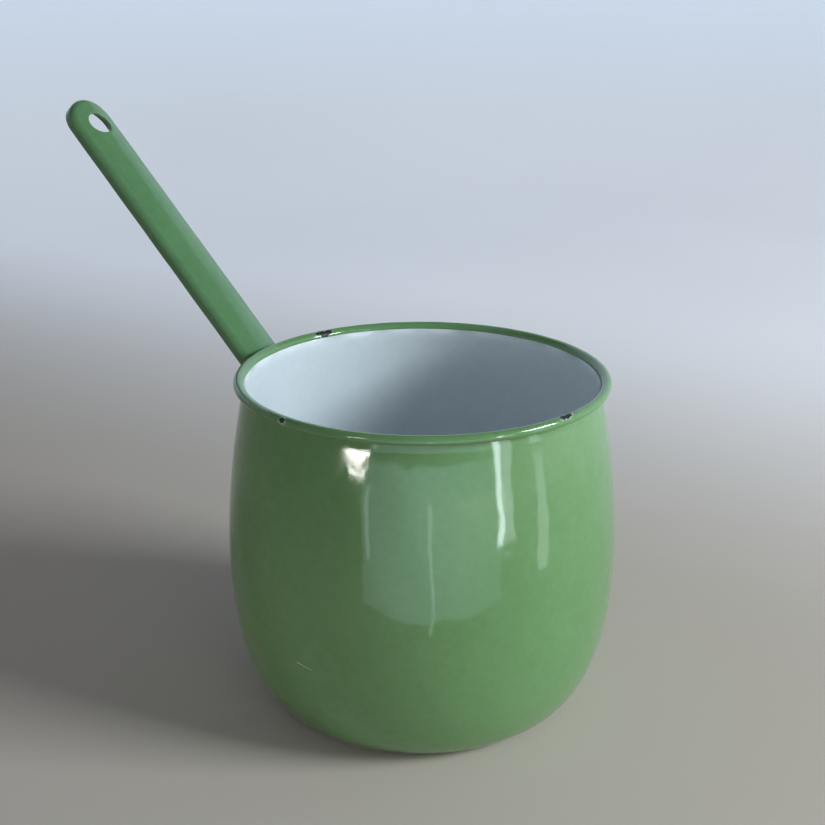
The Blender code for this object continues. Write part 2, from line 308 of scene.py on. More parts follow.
def ring_angles():
    """Even steps round the pot: one in a few of a fine ring's, and all of them on either side of each chip."""
    ring = np.linspace(-180, 180, FINE_STEPS, endpoint=False)
    near_chip = np.abs(ring[:, None] - CHIP_LOBES[:, 0]).min(axis=1) < CHIP_WINDOW
    return np.radians(ring[near_chip | (np.arange(FINE_STEPS) % COARSE_EVERY == 0)])


def chip_field(angles, along):
    """How deep inside a chip each point lies: 1 in the middle of a lobe, 0 at its edge, less outside.

    It is 1 less the distance in half lengths from the nearest lobe, plus a little raggedness.
    """
    top = run(green_face)[np.argmax(green_face[:, 1])]
    places = top + np.radians(CHIP_LOBES[:, 1] - 90) * BEAD_RADIUS
    turned = np.degrees(angles)[None, :, None] - CHIP_LOBES[:, 0]
    round_rim = np.radians((turned + 180) % 360 - 180) * bead_centre[0]
    down_profile = along[:, None, None] - places
    ragged = 0.16 * np.sin(5.1 * round_rim + 3.3 * down_profile) + 0.12 * np.sin(8.7 * down_profile - 4.6 * round_rim)
    far = np.hypot(round_rim / CHIP_LOBES[:, 2], down_profile / CHIP_LOBES[:, 3])
    return (1 - far + ragged).max(axis=2)


def smooth(value, low, high):
    """0 below low, 1 above high, and a smooth step in between."""
    share = np.clip((value - low) / (high - low), 0, 1)
    return share * share * (3 - 2 * share)


angles = ring_angles()
chips = np.clip(chip_field(angles, run(green_face)), -1, 1)
print(f"{len(angles)} columns round the pot, {int((chips > 0).sum())} points inside chips")

# %% [markdown]
# ## Glass is never flat
#
# Enamel is sprayed or dipped wet, then melted. It keeps slow waves, a few hundredths of a millimetre high, that
# bend every reflection. This shows far more than colour does. The waves are sums of sines. Round the pot each has
# a whole number of crests, so the ring closes without a step.


# %% Waves in the glass
def waves(angles, along, seed, crests, lengths, count=9):
    """Sum of sines sin(crests times the angle + 2 pi times the length / a wavelength + a phase), about -1 to 1."""
    draw = np.random.default_rng(seed)
    turns = draw.integers(crests[0], crests[1] + 1, count)
    pitches = draw.uniform(*lengths, count) * draw.choice([-1, 1], count)
    phases = draw.uniform(0, 2 * math.pi, count)
    inside = turns * angles[None, :, None] + 2 * math.pi * along[:, None, None] / pitches + phases
    return np.sin(inside).sum(axis=2) / math.sqrt(2 * count)


def lathe(outline, angles, out_by=0.0, lift=0.0):
    """The outline carried round the axis: x is radius times cosine, y is radius times sine, z is height.

    out_by[row, column] moves a point along the outline's normal, to the right of its direction.
    """
    along = np.gradient(outline, axis=0)
    along /= np.maximum(np.linalg.norm(along, axis=1), 1e-9)[:, None]
    radius = outline[:, :1] + along[:, 1:] * out_by
    height = outline[:, 1:] - along[:, :1] * out_by + lift
    radius = np.where(outline[:, :1] > 0, radius, 0)
    return np.stack(np.broadcast_arrays(radius * np.cos(angles), radius * np.sin(angles), height), axis=-1)


# %% The green coat
SLOW_WAVE, FINE_WAVE, HAMMERED, BAND_SWAY = 0.045, 0.012, 0.04, 0.05
CALM_IN_MOUTH = 0.4
GREEN_BULGE, MOUTH_REACH = 0.05, 0.5
STILL_AT_BASE, STILL_AT_CREASE = (1.0, 9.0), 0.7


def band_sway(angles, rows_height, reach=1.8):
    """How far up or down the edge between green and white wanders, fading out over a few millimetres."""
    sway = BAND_SWAY * waves(angles, np.zeros(1), 41, (3, 17), (20, 40))
    near = 1 - smooth(np.abs(rows_height - (POT_HEIGHT - GREEN_BAND)), 0.2, reach)
    return near[:, None] * sway


along = run(green_face)
height = green_face[:, 1]
in_mouth = (np.arange(len(along)) > np.argmax(height))[:, None]
swell = SLOW_WAVE * waves(angles, along, 7, (6, 30), (22, 80)) + FINE_WAVE * waves(angles, along, 8, (30, 60), (9, 20))
swell *= smooth(height, *STILL_AT_BASE)[:, None]
swell *= (1 - smooth(height, crease_height - STILL_AT_CREASE, crease_height))[:, None]
hammered = HAMMERED * waves(angles, along, 9, (10, 48), (6, 14)) * smooth(height, wall_top, bead_centre[1])[:, None]
pitted = smooth(chips, 0.0, CHIP_SLOPE)
out_by = (1 - pitted) * (swell + np.where(in_mouth, CALM_IN_MOUTH, 1.0) * hammered) - CHIP_DEPTH * pitted
lift = band_sway(angles, height) * in_mouth
face_points = lathe(green_face, angles, out_by, lift)
print(f"waves on the side up to {np.abs(swell).max():.3f} mm, on the bead up to {np.abs(hammered).max():.3f} mm")

back_outline = green_back[::-1]
end_points = rounded_end(green_face[-1], back_outline[0], (0, -GREEN_BULGE))
tail = np.vstack([end_points, back_outline])
tail_in_mouth = (tail[:, 0] < NECK_RADIUS) & (tail[:, 1] > wall_top - MOUTH_REACH)
tail_lift = band_sway(angles, tail[:, 1]) * tail_in_mouth[:, None]
tail_points = lathe(tail, angles, lift=tail_lift)
coat = grid_piece(
    "green_enamel_coat",
    np.concatenate([face_points, tail_points]),
    chip=np.vstack([chips, np.full((len(tail), len(angles)), -1.0)]),
)
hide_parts("green_coat")
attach(coat, "root")

# %% [markdown]
# ## The handle's line
#
# The handle is one pressed strip. Seen from the side it lies down the neck as a foot, bends outwards in a small
# bow under the bead, and runs straight up to its tip. That line, its crown line, is all that the pressing
# follows. The foot lies against the neck, so the line is searched for where the straight part meets the seat.

# %% Crown line of the handle
HANDLE_SHEET = 1.3
HANDLE_LENGTH, HANDLE_HALF, HANDLE_DEPTH = 120.0, 10.0, 6.2
HANDLE_TILT = math.radians(47.8)
CROWN, SHOULDER = 2.3, 2.8
HOLE_RADIUS, HOLE_TO_TIP = 4.5, 12.0
SEAT_GAP, BEND_REACH = 0.3, 4.0
FOOT_LENGTH, FOOT_LIP, FLANGE_FADE = 34.0, 0.4, 0.7
LINE_STEP = 0.25
PRESSED_FROM = 8.0

rising = np.array([math.cos(HANDLE_TILT), math.sin(HANDLE_TILT)])
passing = bead_centre + np.array([rising[1], -rising[0]]) * (BEAD_RADIUS + SEAT_GAP)


def seat(height):
    """Points along the neck, a gap away from it, square to its leaning side."""
    lean = side_radius(height + 1) - side_radius(height)
    return np.stack([side_radius(height) + SEAT_GAP * np.hypot(1, lean), height], axis=-1)


corner = passing
for _ in range(12):
    corner = corner - rising * (corner[0] - seat(corner[1])[0]) / rising[0]
foot_top = corner[1] - BEND_REACH
foot_line = seat(np.linspace(foot_top - FOOT_LENGTH, foot_top, 80))
bend_line = bow(foot_line[-1], corner, corner + rising * BEND_REACH, 30)
drawn = np.vstack([foot_line, bend_line[1:], [passing + rising * HANDLE_LENGTH]])
crown_line = spaced(drawn, int(run(drawn)[-1] / LINE_STEP))
line_run = run(crown_line)
line_up = np.gradient(crown_line, axis=0)[:, ::-1] * [-1, 1]
line_up /= np.linalg.norm(line_up, axis=1)[:, None]
print(f"crown line {line_run[-1]:.1f} mm long, foot from {foot_line[0][1]:.1f} to {foot_top:.1f} mm high")

# %% [markdown]
# ## The pressed channel
#
# The strip's edge was turned down all round, tips included. A section swept along the line, or a bevelled curve,
# would end in two flat cuts. So the section goes round the outline instead, which is a long slot shape. Each row of
# the grid is a ring at one inset from that outline, from the middle of the top over the shoulder, down the flange,
# round its edge and back under. The tip gets its rounded end with no extra work, and the sheet closes into one solid.


# %% Where a point of the strip goes
def line_height(s):
    """Height of the crown line s millimetres from the foot's end."""
    return np.interp(s, line_run, crown_line[:, 1])


def crown_at(s, y):
    """How far the strip's top lies above the crown line: a parabola on the grip, the round neck's curve below."""
    grip = smooth(line_height(s), foot_top, passing[1])
    round_neck = side_radius(line_height(s)) + SEAT_GAP
    seated = round_neck - np.sqrt(round_neck**2 - y**2)
    return grip * -CROWN * (y / HANDLE_HALF) ** 2 + (1 - grip) * seated


def flange_edge(s, shoulder_top):
    """Level of the flange's edge: the full depth on the grip, fading to a low lip round the foot."""
    flange = smooth(line_height(s), foot_top - FLANGE_FADE * FOOT_LENGTH, foot_top)
    lip = shoulder_top - HANDLE_SHEET - FOOT_LIP - SHOULDER
    return np.minimum(flange * -HANDLE_DEPTH + (1 - flange) * lip, lip)


def on_handle(s, y, up):
    """The point at s along the crown line, y sideways and up off it. The handle points towards -X."""
    across = [np.interp(s, line_run, crown_line[:, k]) + np.interp(s, line_run, line_up[:, k]) * up for k in (0, 1)]
    return np.stack([-across[0], np.broadcast_to(y, across[0].shape), across[1]], axis=-1)


# %% Rings of the channel
EDGE_ROUND, INNER_CORNER = HANDLE_SHEET / 2, SHOULDER - HANDLE_SHEET


def slot_outline(straight=170, end=44):
    """Centres on the line and directions from them, once round: along one side, round the tip, back, round the foot."""
    first, last = HANDLE_HALF, line_run[-1] - HANDLE_HALF
    side = np.linspace(first, last, straight)
    half_turn = np.linspace(math.pi / 2, -math.pi / 2, end + 1)[1:-1]
    centres = np.concatenate([side, np.full(end - 1, last), side[::-1], np.full(end - 1, first)])
    left, right = np.full(straight, math.pi / 2), np.full(straight, -math.pi / 2)
    facing = np.concatenate([left, half_turn, right, half_turn - math.pi])
    return centres, np.cos(facing), np.sin(facing)


def channel_rows():
    """Rows of (inset, how the level is counted, share of the flange, drop), from the top's middle to beneath it."""
    quarter = np.linspace(0, math.pi / 2, 9)
    half = np.linspace(0, math.pi, 13)
    top = [(inset, 0, 0, 0) for inset in np.linspace(HANDLE_HALF, SHOULDER, 20)]
    shoulder = [(SHOULDER * (1 - math.sin(a)), 1, 0, SHOULDER * (1 - math.cos(a))) for a in quarter[1:]]
    flange = [(0, 1, share, SHOULDER) for share in np.linspace(0, 1, 9)[1:]]
    edge = [(EDGE_ROUND * (1 - math.cos(a)), 2, 0, EDGE_ROUND * (1 - math.sin(a))) for a in half[1:]]
    inside = [(HANDLE_SHEET, 3, share, 0) for share in np.linspace(1, 0, 6)[1:]]
    inner = [
        (HANDLE_SHEET + INNER_CORNER * (1 - math.cos(a)), 4, 0, INNER_CORNER * (1 - math.sin(a))) for a in quarter[2::2]
    ]
    under = [(inset, 5, 0, 0) for inset in np.linspace(HANDLE_SHEET + INNER_CORNER, HANDLE_HALF, 14)[1:]]
    return np.array(top + shoulder + flange + edge + inside + inner + under)


inset, part, share, drop = (column[:, None] for column in channel_rows().T)
centres, ahead, aside = slot_outline()
s = centres + (HANDLE_HALF - inset) * ahead
y = (HANDLE_HALF - inset) * aside
shoulder_top = crown_at(centres + (HANDLE_HALF - SHOULDER) * ahead, (HANDLE_HALF - SHOULDER) * aside)
edge_level = flange_edge(s, shoulder_top)
flange_low, inner_high = edge_level + EDGE_ROUND, shoulder_top - HANDLE_SHEET - INNER_CORNER
levels = [
    crown_at(s, y),
    (shoulder_top - drop) * (1 - share) + flange_low * share,
    edge_level + drop,
    flange_low * share + inner_high * (1 - share),
    shoulder_top - HANDLE_SHEET - drop,
    crown_at(s, y) - HANDLE_SHEET,
]
up = np.select([part == k for k in range(len(levels))], levels)
# the press leaves two shallow waves, one across the other, on the grip's outside
pressed = 0.05 * np.sin(s / 7.9 + 1.3) * np.cos(y / 5.2 + 0.4) + 0.04 * np.sin(s / 3.7 + y / 4.4)
up = up + pressed * (part < 3) * smooth(line_height(s), foot_top, passing[1] + PRESSED_FROM)
thin_edge = np.where(part == 2, np.sin(math.pi * np.clip(inset / HANDLE_SHEET, 0, 1)), 0) * np.ones_like(s)
handle = grid_piece("green_handle", on_handle(s, y, up), thin=thin_edge)

# %% [markdown]
# ## The hanging hole
#
# The hole was punched before the enamel went on, so the glass rounds its edge over. A straight cutter would
# leave a sharp one. The cutter here is a bobbin: a straight middle that flares at both ends by a part of a
# circle, bent to the handle's crown by the same function that places the handle.

# %% Punch the hole
HOLE_EDGE, FLARE_START = 0.5, math.radians(20)
CUTTER_TOP, CUTTER_FLARES = 2.5, (0.9, 0.5)
FLARE_TOP = 0.25


def bobbin(steps=72):
    """Radii and levels of the cutter from above the sheet to below it, carried round the hole's middle."""
    flare = np.linspace(FLARE_START, math.pi / 2, 8)
    out = HOLE_RADIUS + HOLE_EDGE * (1 - np.sin(flare))
    down = -HOLE_EDGE * (1 - np.cos(flare)) + HOLE_EDGE * (1 - math.cos(FLARE_START))
    middle = -HANDLE_SHEET / 2
    upper = np.column_stack([out, down])
    lower = np.column_stack([out, 2 * middle - down])[::-1]
    above = [[0, CUTTER_TOP], [out[0] + CUTTER_FLARES[0], CUTTER_TOP], [out[0] + CUTTER_FLARES[1], FLARE_TOP]]
    below = [[radius, 2 * middle - level] for radius, level in above[::-1]]
    rings = np.vstack([above, upper, lower, below])
    turn_round = np.linspace(0, 2 * math.pi, steps, endpoint=False)
    hole_s = line_run[-1] - HOLE_TO_TIP + rings[:, :1] * np.cos(turn_round)
    hole_y = rings[:, :1] * np.sin(turn_round)
    return on_handle(hole_s, hole_y, crown_at(hole_s, hole_y) + rings[:, 1:])


cutter = grid_piece("hole_cutter", bobbin())
punch = handle.modifiers.new("punch", "BOOLEAN")
punch.operation, punch.solver, punch.object = "DIFFERENCE", "EXACT", cutter
bpy.context.view_layer.update()
punched = bpy.data.meshes.new_from_object(handle.evaluated_get(bpy.context.evaluated_depsgraph_get()))
handle.modifiers.clear()
handle.data = punched
bpy.data.objects.remove(cutter)
close_up(handle)
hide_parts("handle")
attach(handle, "root")

# %% [markdown]
# ## The white lining and the steel
#
# The lining follows the same wall from the other side. Where the handle was welded on, the steel kept four shallow
# dimples, and the white glass shows them. The steel itself is almost hidden, but the chips and the crease look
# down on it, so it is drawn as finely as the glass. Its coarse model could stay, but the flat facets would show.

# %% White lining
WELD_SPREAD, WELD_DROPS = 9.0, (7.0, 19.0)
DIMPLE_DEPTH, DIMPLE_RADIUS = 0.09, 2.4
LINING_WAVE, LINING_BULGE = 0.05, 0.04


def dimples(angles, heights):
    """Shallow rounds over the four welds: a bell curve of the distance from each."""
    bells = 0
    for down in WELD_DROPS:
        for side in (-0.5, 0.5):
            sideways = side_radius(foot_top - down) * np.sin(angles)
            far = np.hypot(sideways - side * WELD_SPREAD, heights[:, None] - foot_top + down)
            bells = bells + np.exp(-((far / DIMPLE_RADIUS) ** 2)) * (np.cos(angles) < 0)
    return DIMPLE_DEPTH * bells


even_angles = np.linspace(-math.pi, math.pi, 330, endpoint=False)
free_face = white_face[::-1]
lining_end = rounded_end(white_back[-1], free_face[0], (0, LINING_BULGE))
lining_outline = np.vstack([white_back, lining_end, free_face])
heights = lining_outline[:, 1]
free = (np.arange(len(heights)) >= len(white_back) + len(lining_end))[:, None]
quiet = smooth(heights, 2.0, 12.0)[:, None]
lining_waves = quiet * LINING_WAVE * waves(even_angles, run(lining_outline), 17, (5, 26), (24, 70))
lining_out = free * (lining_waves + dimples(even_angles, heights))
lining_points = lathe(lining_outline, even_angles, lining_out, band_sway(even_angles, heights))
lining = grid_piece("white_enamel_lining", lining_points)
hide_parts("white_lining")
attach(lining, "root")

# %% Steel pot
steel_angles = np.linspace(-math.pi, math.pi, 240, endpoint=False)
steel_outline = np.vstack([offset(sheet, STEEL / 2), offset(sheet, -STEEL / 2)[::-1]])
steel = grid_piece("steel_pot", lathe(steel_outline, steel_angles))
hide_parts("steel_body")
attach(steel, "root")

# %% [markdown]
# ## Building finishes from node groups
#
# Three effects are used by more than one finish, so each is a node group with named inputs and outputs: the skin
# of the glass, the marks of a chip, and a single scratch. A group only works out colours, masks and heights. The
# shader itself stays in the material, with its plain numbers set on its own sockets.


# %% Node helpers
def add_node(tree, kind, **settings):
    """A node of a kind, with named properties, and values by input name where the setting is a dictionary."""
    node = tree.nodes.new(kind)
    for socket, value in settings.pop("inputs", {}).items():
        node.inputs[socket].default_value = value
    for title, value in settings.items():
        setattr(node, title, value)
    return node


def join(tree, *pairs):
    """Links each (output, input) pair."""
    for source, target in pairs:
        tree.links.new(source, target)


def start_group(name, inputs, outputs):
    """An empty group with its sockets, given as name: kind, and its two end nodes."""
    tree = bpy.data.node_groups.new(name, "ShaderNodeTree")
    for sockets, side in ((inputs, "INPUT"), (outputs, "OUTPUT")):
        for title, kind in sockets.items():
            tree.interface.new_socket(name=title, in_out=side, socket_type="NodeSocket" + kind)
    return tree, tree.nodes.new("NodeGroupInput").outputs, tree.nodes.new("NodeGroupOutput").inputs


def noise(tree, vector, scale, detail=2.0, distortion=0.0):
    """Noise of a vector, between 0 and 1. The scale is in patches to the metre."""
    node = add_node(tree, "ShaderNodeTexNoise", inputs={"Scale": scale, "Detail": detail, "Distortion": distortion})
    join(tree, (vector, node.inputs["Vector"]))
    return node.outputs["Fac"]


def step_map(tree, value, low, high, bottom=0.0, top=1.0):
    """A smooth step of a value from bottom to top between low and high."""
    node = add_node(tree, "ShaderNodeMapRange", interpolation_type="SMOOTHSTEP")
    for socket, number in zip(("From Min", "From Max", "To Min", "To Max"), (low, high, bottom, top)):
        if isinstance(number, (int, float)):
            node.inputs[socket].default_value = number
        else:
            join(tree, (number, node.inputs[socket]))
    join(tree, (value, node.inputs["Value"]))
    return node.outputs["Result"]


def calculate(tree, operation, *values):
    """A Math node on sockets and plain numbers."""
    node = add_node(tree, "ShaderNodeMath", operation=operation)
    for socket, value in zip(node.inputs, values):
        if isinstance(value, (int, float)):
            socket.default_value = value
        else:
            join(tree, (value, socket))
    return node.outputs["Value"]


def mix_colour(tree, share, first, second):
    """The first colour where the share is 0, the second where it is 1."""
    node = add_node(tree, "ShaderNodeMix", data_type="RGBA")
    sockets = [node.inputs[0], node.inputs[6], node.inputs[7]]
    for socket, value in zip(sockets, (share, first, second)):
        if isinstance(value, (int, float)):
            socket.default_value = value
        elif isinstance(value, tuple):
            socket.default_value = (*value, 1)
        else:
            join(tree, (value, socket))
    return node.outputs[2]


# %% [markdown]
# ### The skin of the glass
#
# The colour clouds slowly where the glass lies thicker, and mottles finely where the melt didn't quite mix. A few
# bubbles burst and left dark pinholes. Fingers and washing leave dull smears on a gloss that is otherwise
# as smooth as a window. A very shallow orange peel, about two millimetres across, breaks up the reflections.

# %% Enamel skin group
skin, given, made = start_group(
    "enamel_skin",
    {"Vector": "Vector", "Thin": "Color", "Thick": "Color", "Pinhole": "Color", "Smooth": "Float", "Smeared": "Float"},
    {"Color": "Color", "Roughness": "Float", "Height": "Float"},
)
place = given["Vector"]
cloud = noise(skin, place, 24, 3)
mottle = noise(skin, place, 330, 4)
blended = calculate(skin, "MULTIPLY_ADD", mottle, 0.45, calculate(skin, "MULTIPLY", cloud, 0.55))
body = mix_colour(skin, step_map(skin, blended, 0.36, 0.64), given["Thick"], given["Thin"])
bubbles = add_node(skin, "ShaderNodeTexVoronoi", inputs={"Scale": 150.0})
join(skin, (place, bubbles.inputs["Vector"]))
chosen = calculate(skin, "GREATER_THAN", bubbles.outputs["Color"], 0.72)
hole = calculate(skin, "MULTIPLY", step_map(skin, bubbles.outputs["Distance"], 0.018, 0.034, 1, 0), chosen)
smear = step_map(skin, noise(skin, place, 38, 4, 1.6), 0.52, 0.72)
dull = step_map(skin, smear, 0, 1, given["Smooth"], given["Smeared"])
peel = noise(skin, place, 480, 1)
height_out = calculate(skin, "MULTIPLY_ADD", hole, -6.0, peel)
join(
    skin,
    (mix_colour(skin, hole, body, given["Pinhole"]), made["Color"]),
    (calculate(skin, "MAXIMUM", dull, calculate(skin, "MULTIPLY", hole, 0.5)), made["Roughness"]),
    (height_out, made["Height"]),
)
print(f"{skin.name}: {len(skin.nodes)} nodes")

# %% [markdown]
# ### The marks of a chip
#
# The mesh already has the pits. The group turns the same field into two masks, and roughens their
# edges with fine noise, so that no chip has a drawn outline: the dark floor, and the pale ring of crushed glass
# round it, which is broken rather than even. The floor is near black with a breath of rust.

# %% Chip group
chip_marks, given, made = start_group(
    "chip_marks",
    {"Vector": "Vector", "Field": "Float"},
    {"Floor": "Float", "Ring": "Float", "Floor Color": "Color"},
)
grit = noise(chip_marks, given["Vector"], 1500, 3)
ragged = calculate(chip_marks, "MULTIPLY_ADD", grit, 0.30, calculate(chip_marks, "SUBTRACT", given["Field"], 0.15))
floor_mask = step_map(chip_marks, ragged, 0.00, 0.09)
ring_mask = step_map(chip_marks, ragged, -0.62, -0.22)
broken = step_map(chip_marks, noise(chip_marks, given["Vector"], 420, 2), 0.40, 0.58)
rust = step_map(chip_marks, noise(chip_marks, given["Vector"], 900, 3), 0.55, 0.75, 0, 0.8)
join(
    chip_marks,
    (floor_mask, made["Floor"]),
    (calculate(chip_marks, "MULTIPLY", ring_mask, broken), made["Ring"]),
    (mix_colour(chip_marks, rust, (0.010, 0.012, 0.017), (0.085, 0.035, 0.016)), made["Floor Color"]),
)
print(f"{chip_marks.name}: {len(chip_marks.nodes)} nodes")

# %% [markdown]
# ### A scratch
#
# Something hard was once dragged across the glass. The mark is a thin tapering line. It could be cut in the mesh, but
# it is far finer than the mesh's own faces. So the group measures the distance from a point to a line between two
# ends, and is 1 on the line and 0 beside it.

# %% Scratch group
scratch, given, made = start_group(
    "scratch", {"Vector": "Vector", "Start": "Vector", "End": "Vector", "Width": "Float"}, {"Mask": "Float"}
)


def vector_step(tree, operation, *sockets):
    """A Vector Math node on sockets, with both its outputs."""
    node = add_node(tree, "ShaderNodeVectorMath", operation=operation)
    join(tree, *zip(sockets, node.inputs))
    return node


reach = vector_step(scratch, "SUBTRACT", given["End"], given["Start"]).outputs["Vector"]
away = vector_step(scratch, "SUBTRACT", given["Vector"], given["Start"]).outputs["Vector"]
length_squared = vector_step(scratch, "DOT_PRODUCT", reach, reach).outputs["Value"]
covered = vector_step(scratch, "DOT_PRODUCT", away, reach).outputs["Value"]
share_along = calculate(scratch, "DIVIDE", covered, length_squared)
held = step_map(scratch, share_along, 0, 1)
scratch.nodes[-1].interpolation_type = "LINEAR"
foot_point = add_node(scratch, "ShaderNodeVectorMath", operation="SCALE")
join(scratch, (reach, foot_point.inputs[0]), (held, foot_point.inputs["Scale"]))
gap = vector_step(scratch, "DISTANCE", away, foot_point.outputs["Vector"]).outputs["Value"]
taper = calculate(scratch, "SUBTRACT", 1.0, calculate(scratch, "MULTIPLY", held, 0.55))
width = calculate(scratch, "MULTIPLY", given["Width"], taper)
inside = calculate(scratch, "DIVIDE", gap, width)
join(scratch, (step_map(scratch, inside, 0.35, 1.0, 1, 0), made["Mask"]))
print(f"{scratch.name}: {len(scratch.nodes)} nodes")


# %% A finish of enamel
def start_material(name, **sockets):
    """A new material with plain numbers set on its Principled shader. Gives tree, shader and object position."""
    material = bpy.data.materials.new(name)
    material.use_nodes = True
    tree = material.node_tree
    shader = tree.nodes["Principled BSDF"]
    for title, value in sockets.items():
        shader.inputs[title.replace("_", " ")].default_value = value
    return material, tree, shader, tree.nodes.new("ShaderNodeTexCoord").outputs["Object"]


def place_group(tree, group, **inputs):
    """A group node with its inputs given as sockets, colours or numbers."""
    node = add_node(tree, "ShaderNodeGroup", node_tree=group)
    for title, value in inputs.items():
        if isinstance(value, bpy.types.NodeSocket):
            join(tree, (value, node.inputs[title]))
        elif isinstance(value, tuple) and len(node.inputs[title].default_value) == 4:
            node.inputs[title].default_value = (*value, 1)
        else:
            node.inputs[title].default_value = value
    return node.outputs


def emboss(tree, shader, height, distance):
    """Bump that feeds the shader's normal. The distance is the height, in metres, of one unit."""
    bump = add_node(tree, "ShaderNodeBump", inputs={"Distance": distance})
    join(tree, (height, bump.inputs["Height"]), (bump.outputs["Normal"], shader.inputs["Normal"]))


PEEL_HEIGHT = 0.000005


# %% [markdown]
# ### The green of the pot
#
# The green is a mid, slightly yellow leaf green that clouds a little between its thin and its thick tone. A picture
# of enamel could be laid on, but it would stretch on the bead. Here the skin, the scratch and the chips are worked
# out in place and laid over each other: glass first, then the scratch, the pale rings, and the dark floors last.

# %% Green enamel
SCRATCH_LEVEL = 37.4
SCRATCH_RADIUS = float(np.interp(SCRATCH_LEVEL, green_face[:60, 1], green_face[:60, 0])) * MM
SCRATCH_ENDS, SCRATCH_WIDTH = ((-98.2, 38.0), (-93.0, 36.9)), 0.00028
scratch_ends = [(*on_floor(math.radians(azimuth), SCRATCH_RADIUS), level * MM) for azimuth, level in SCRATCH_ENDS]
green, tree, shader, position = start_material("green_enamel", IOR=1.52)
coating = place_group(
    tree,
    skin,
    Vector=position,
    Thin=(0.150, 0.300, 0.122),
    Thick=(0.132, 0.277, 0.108),
    Pinhole=(0.02, 0.035, 0.02),
    Smooth=0.075,
    Smeared=0.17,
)
field = add_node(tree, "ShaderNodeAttribute", attribute_name="chip").outputs["Fac"]
chipped = place_group(tree, chip_marks, Vector=position, Field=field)
line = place_group(tree, scratch, Vector=position, Start=scratch_ends[0], End=scratch_ends[1], Width=SCRATCH_WIDTH)
colour = mix_colour(tree, calculate(tree, "MULTIPLY", line["Mask"], 0.85), coating["Color"], (0.62, 0.66, 0.50))
colour = mix_colour(tree, calculate(tree, "MULTIPLY", chipped["Ring"], 0.75), colour, (0.52, 0.62, 0.50))
colour = mix_colour(tree, chipped["Floor"], colour, chipped["Floor Color"])
rough = step_map(tree, chipped["Floor"], 0, 1, coating["Roughness"], 0.55)
join(tree, (colour, shader.inputs["Base Color"]), (rough, shader.inputs["Roughness"]))
emboss(tree, shader, coating["Height"], PEEL_HEIGHT)
coat.data.materials.append(green)

# %% [markdown]
# ### The green of the handle
#
# The handle goes through the same dip, and its sheet is thicker than the pot's. Its green is set a shade darker
# than the pot's as painted shade, for the handle catching less of the window and reflecting darker surroundings.
# Its gloss is duller too, so it has a material of its own. Glass pulls away from a sharp edge as it melts, so the
# flange's edge is thin and shows the ground coat in patches. The mesh carries that edge as an attribute.

# %% Handle enamel
grip_green_painted_shade, tree, shader, position = start_material("handle_enamel", IOR=1.5)
# The Thin and Thick greens are the pot's greens darkened: painted shade for the dimmer light on the handle.
coating = place_group(
    tree,
    skin,
    Vector=position,
    Thin=(0.112, 0.240, 0.108),
    Thick=(0.098, 0.218, 0.096),
    Pinhole=(0.02, 0.03, 0.02),
    Smooth=0.16,
    Smeared=0.27,
)
edge = add_node(tree, "ShaderNodeAttribute", attribute_name="thin").outputs["Fac"]
worn = calculate(tree, "MULTIPLY", edge, step_map(tree, noise(tree, position, 260, 4), 0.48, 0.62))
colour = mix_colour(tree, calculate(tree, "MULTIPLY", worn, 0.55), coating["Color"], (0.035, 0.070, 0.040))
join(tree, (colour, shader.inputs["Base Color"]), (coating["Roughness"], shader.inputs["Roughness"]))
emboss(tree, shader, coating["Height"], PEEL_HEIGHT)
handle.data.materials.append(grip_green_painted_shade)

# %% [markdown]
# ### The white lining
#
# White enamel is never pure white. It is cool, and years of milk leave a faint warm tide low on the wall and fine
# grey strokes where spoons went round. One plain white would look like plastic. So the tide follows the height, and
# the strokes are a noise that is stretched far in one direction and kept to a few patches.

# %% White enamel
white, tree, shader, position = start_material("white_enamel", IOR=1.52)
coating = place_group(
    tree,
    skin,
    Vector=position,
    Thin=(0.76, 0.82, 0.85),
    Thick=(0.725, 0.785, 0.815),
    Pinhole=(0.16, 0.15, 0.14),
    Smooth=0.10,
    Smeared=0.26,
)
level = add_node(tree, "ShaderNodeSeparateXYZ")
join(tree, (position, level.inputs["Vector"]))
wander = calculate(tree, "MULTIPLY_ADD", noise(tree, position, 60, 3), 0.014, level.outputs["Z"])
below_tide = step_map(tree, wander, 0.030, 0.046, 1, 0)
blotched = step_map(tree, noise(tree, position, 90, 5), 0.35, 0.75, 0.1, 0.5)
tide = calculate(tree, "MULTIPLY", below_tide, blotched)
stroke_shape = {"Scale": (1.0, 0.06, 0.5), "Rotation": (0, 0, math.radians(31))}
stretched = add_node(tree, "ShaderNodeMapping", inputs=stroke_shape)
join(tree, (position, stretched.inputs["Vector"]))
strokes = step_map(tree, noise(tree, stretched.outputs["Vector"], 2600, 2), 0.66, 0.74)
patches = step_map(tree, noise(tree, position, 70, 2), 0.48, 0.62)
low_down = step_map(tree, level.outputs["Z"], 0.010, 0.045, 0.7, 0)
spooned = calculate(tree, "MULTIPLY", calculate(tree, "MULTIPLY", strokes, patches), low_down)
colour = mix_colour(tree, tide, coating["Color"], (0.62, 0.57, 0.48))
colour = mix_colour(tree, spooned, colour, (0.30, 0.30, 0.31))
join(tree, (colour, shader.inputs["Base Color"]), (coating["Roughness"], shader.inputs["Roughness"]))
emboss(tree, shader, coating["Height"], PEEL_HEIGHT)
lining.data.materials.append(white)

# %% [markdown]
# ### Steel and welds
#
# The sheet was dipped in a near-black ground coat before it saw any colour, so the steel that a chip lays bare is
# dark. The welds were made before the dip and stay hidden. Both are one recipe with two sets of values, which is
# shorter and keeps them alike. The weld's own model is fine enough to be shown as it is.

